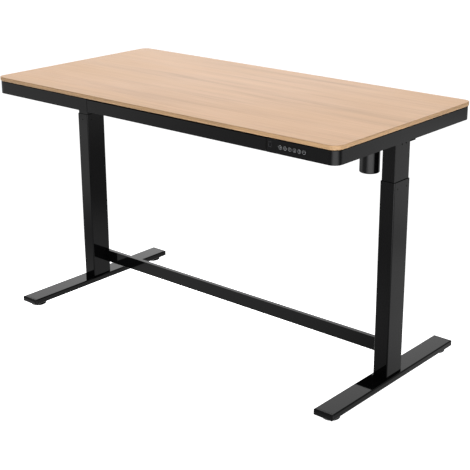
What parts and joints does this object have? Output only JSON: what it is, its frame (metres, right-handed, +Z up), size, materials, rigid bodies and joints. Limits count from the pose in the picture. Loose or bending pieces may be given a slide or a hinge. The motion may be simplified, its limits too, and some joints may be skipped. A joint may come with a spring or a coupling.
{
  "type": "height adjustable standing desk",
  "caption": "Rectangular wood-topped desk on two telescopic legs with long flat feet, a low crossbar, a shallow front drawer and a touch panel; one motor lifts the top.",
  "frame": {"origin": "on the floor, under the middle of the tabletop, with the legs right down", "axes": "+X along the desk's length to the user's right, -Y towards the user, +Z up"},
  "size_m": [1.2, 0.6, 0.711],
  "materials": {
    "wood": "light wood veneer with a satin lacquer",
    "black_metal": "semi-gloss black powder coat",
    "motor_black": "gloss black enamel",
    "panel_gloss": "piano black",
    "key_print": "pale grey print under a clear coat",
    "black_plastic": "fine moulded texture",
    "nylon": "moulded black nylon",
    "plain_steel": "zinc plated",
    "black_steel": "black plated",
    "cast_alloy": "as cast",
    "bronze": "machined",
    "board": "solder mask",
    "drawer_liner": "fine moulded texture"
  },
  "bodies": {
    "base": {"left_foot": "black_metal", "right_foot": "black_metal", "left_foot_caps": "black_plastic", "right_foot_caps": "black_plastic", "left_outer_tube": "black_metal", "right_outer_tube": "black_metal", "left_foot_plate": "plain_steel", "right_foot_plate": "plain_steel", "foot_bolts": "plain_steel", "left_collar": "nylon", "right_collar": "nylon", "base_screws": "black_steel", "crossbar": "black_metal", "crossbar_plugs": "plain_steel", "nut_tubes": "plain_steel", "screw_nuts": "bronze"},
    "leveller_left_front": {"left_leveller_front": "nylon"},
    "leveller_left_rear": {"left_leveller_rear": "nylon"},
    "leveller_right_front": {"right_leveller_front": "nylon"},
    "leveller_right_rear": {"right_leveller_rear": "nylon"},
    "top": {"tabletop": "wood", "front_apron": "black_metal", "left_apron": "black_metal", "right_apron": "black_metal", "rear_apron": "black_metal", "touch_panel": "panel_gloss", "touch_keys": "key_print", "panel_board": "board", "usb_socket": "plain_steel", "left_side_beam": "black_metal", "right_side_beam": "black_metal", "rear_rail": "black_metal", "left_inner_tube": "black_metal", "right_inner_tube": "black_metal", "tube_shoes": "nylon", "left_gearbox": "cast_alloy", "right_gearbox": "cast_alloy", "motor_gearbox": "black_plastic", "motor_can": "motor_black", "control_box": "black_plastic", "power_inlet": "nylon", "motor_cable": "black_plastic", "frame_screws": "black_steel", "wood_screws": "plain_steel", "left_slide_outer": "plain_steel", "right_slide_outer": "plain_steel"},
    "middle_slides": {"left_slide_middle": "plain_steel", "right_slide_middle": "plain_steel"},
    "drawer": {"left_slide_inner": "plain_steel", "right_slide_inner": "plain_steel", "drawer_front": "black_metal", "drawer_tray": "drawer_liner"},
    "screw_left": {"left_screw": "plain_steel", "left_screw_bevel": "plain_steel"},
    "screw_right": {"right_screw": "plain_steel", "right_screw_bevel": "plain_steel"},
    "shaft": {"cross_shaft": "plain_steel", "shaft_bevels": "plain_steel", "worm_wheel": "bronze"},
    "rotor": {"motor_worm": "plain_steel"}
  },
  "joints": [
    {"name": "lift", "type": "slide", "parent": "base", "child": "top", "axis": [0, 0, 1], "range_m": [0, 0.46]},
    {"name": "leveller_left_front_screw", "type": "slide", "parent": "base", "child": "leveller_left_front", "axis": [0, 0, -1], "range_m": [0, 0.01]},
    {"name": "leveller_left_rear_screw", "type": "slide", "parent": "base", "child": "leveller_left_rear", "axis": [0, 0, -1], "range_m": [0, 0.01]},
    {"name": "leveller_right_front_screw", "type": "slide", "parent": "base", "child": "leveller_right_front", "axis": [0, 0, -1], "range_m": [0, 0.01]},
    {"name": "leveller_right_rear_screw", "type": "slide", "parent": "base", "child": "leveller_right_rear", "axis": [0, 0, -1], "range_m": [0, 0.01]},
    {"name": "drawer_slide", "type": "slide", "parent": "top", "child": "drawer", "axis": [0, -1, 0], "range_m": [0, 0.2]},
    {"name": "middle_slide", "type": "slide", "parent": "top", "child": "middle_slides", "axis": [0, -1, 0], "range_m": [0, 0.1]},
    {"name": "screw_left_turn", "type": "hinge", "parent": "top", "child": "screw_left", "pos_m": [-0.5556, 0.0122, 0.3], "axis": [0, 0, 1], "continuous": true},
    {"name": "screw_right_turn", "type": "hinge", "parent": "top", "child": "screw_right", "pos_m": [0.5556, 0.0122, 0.3], "axis": [0, 0, 1], "continuous": true},
    {"name": "shaft_turn", "type": "hinge", "parent": "top", "child": "shaft", "pos_m": [0, 0.0122, 0.6725], "axis": [1, 0, 0], "continuous": true},
    {"name": "rotor_turn", "type": "hinge", "parent": "top", "child": "rotor", "pos_m": [0.49, -0.00481, 0.6725], "axis": [0, 0, 1], "continuous": true}
  ],
  "couplings": [
    {"joint": "middle_slide", "follows": "drawer_slide", "ratio": 0.5},
    {"joint": "screw_left_turn", "follows": "lift", "rad_per_m": 785.4},
    {"joint": "screw_right_turn", "follows": "lift", "rad_per_m": 785.4},
    {"joint": "shaft_turn", "follows": "lift", "rad_per_m": -785.4},
    {"joint": "rotor_turn", "follows": "lift", "rad_per_m": -14137}
  ]
}
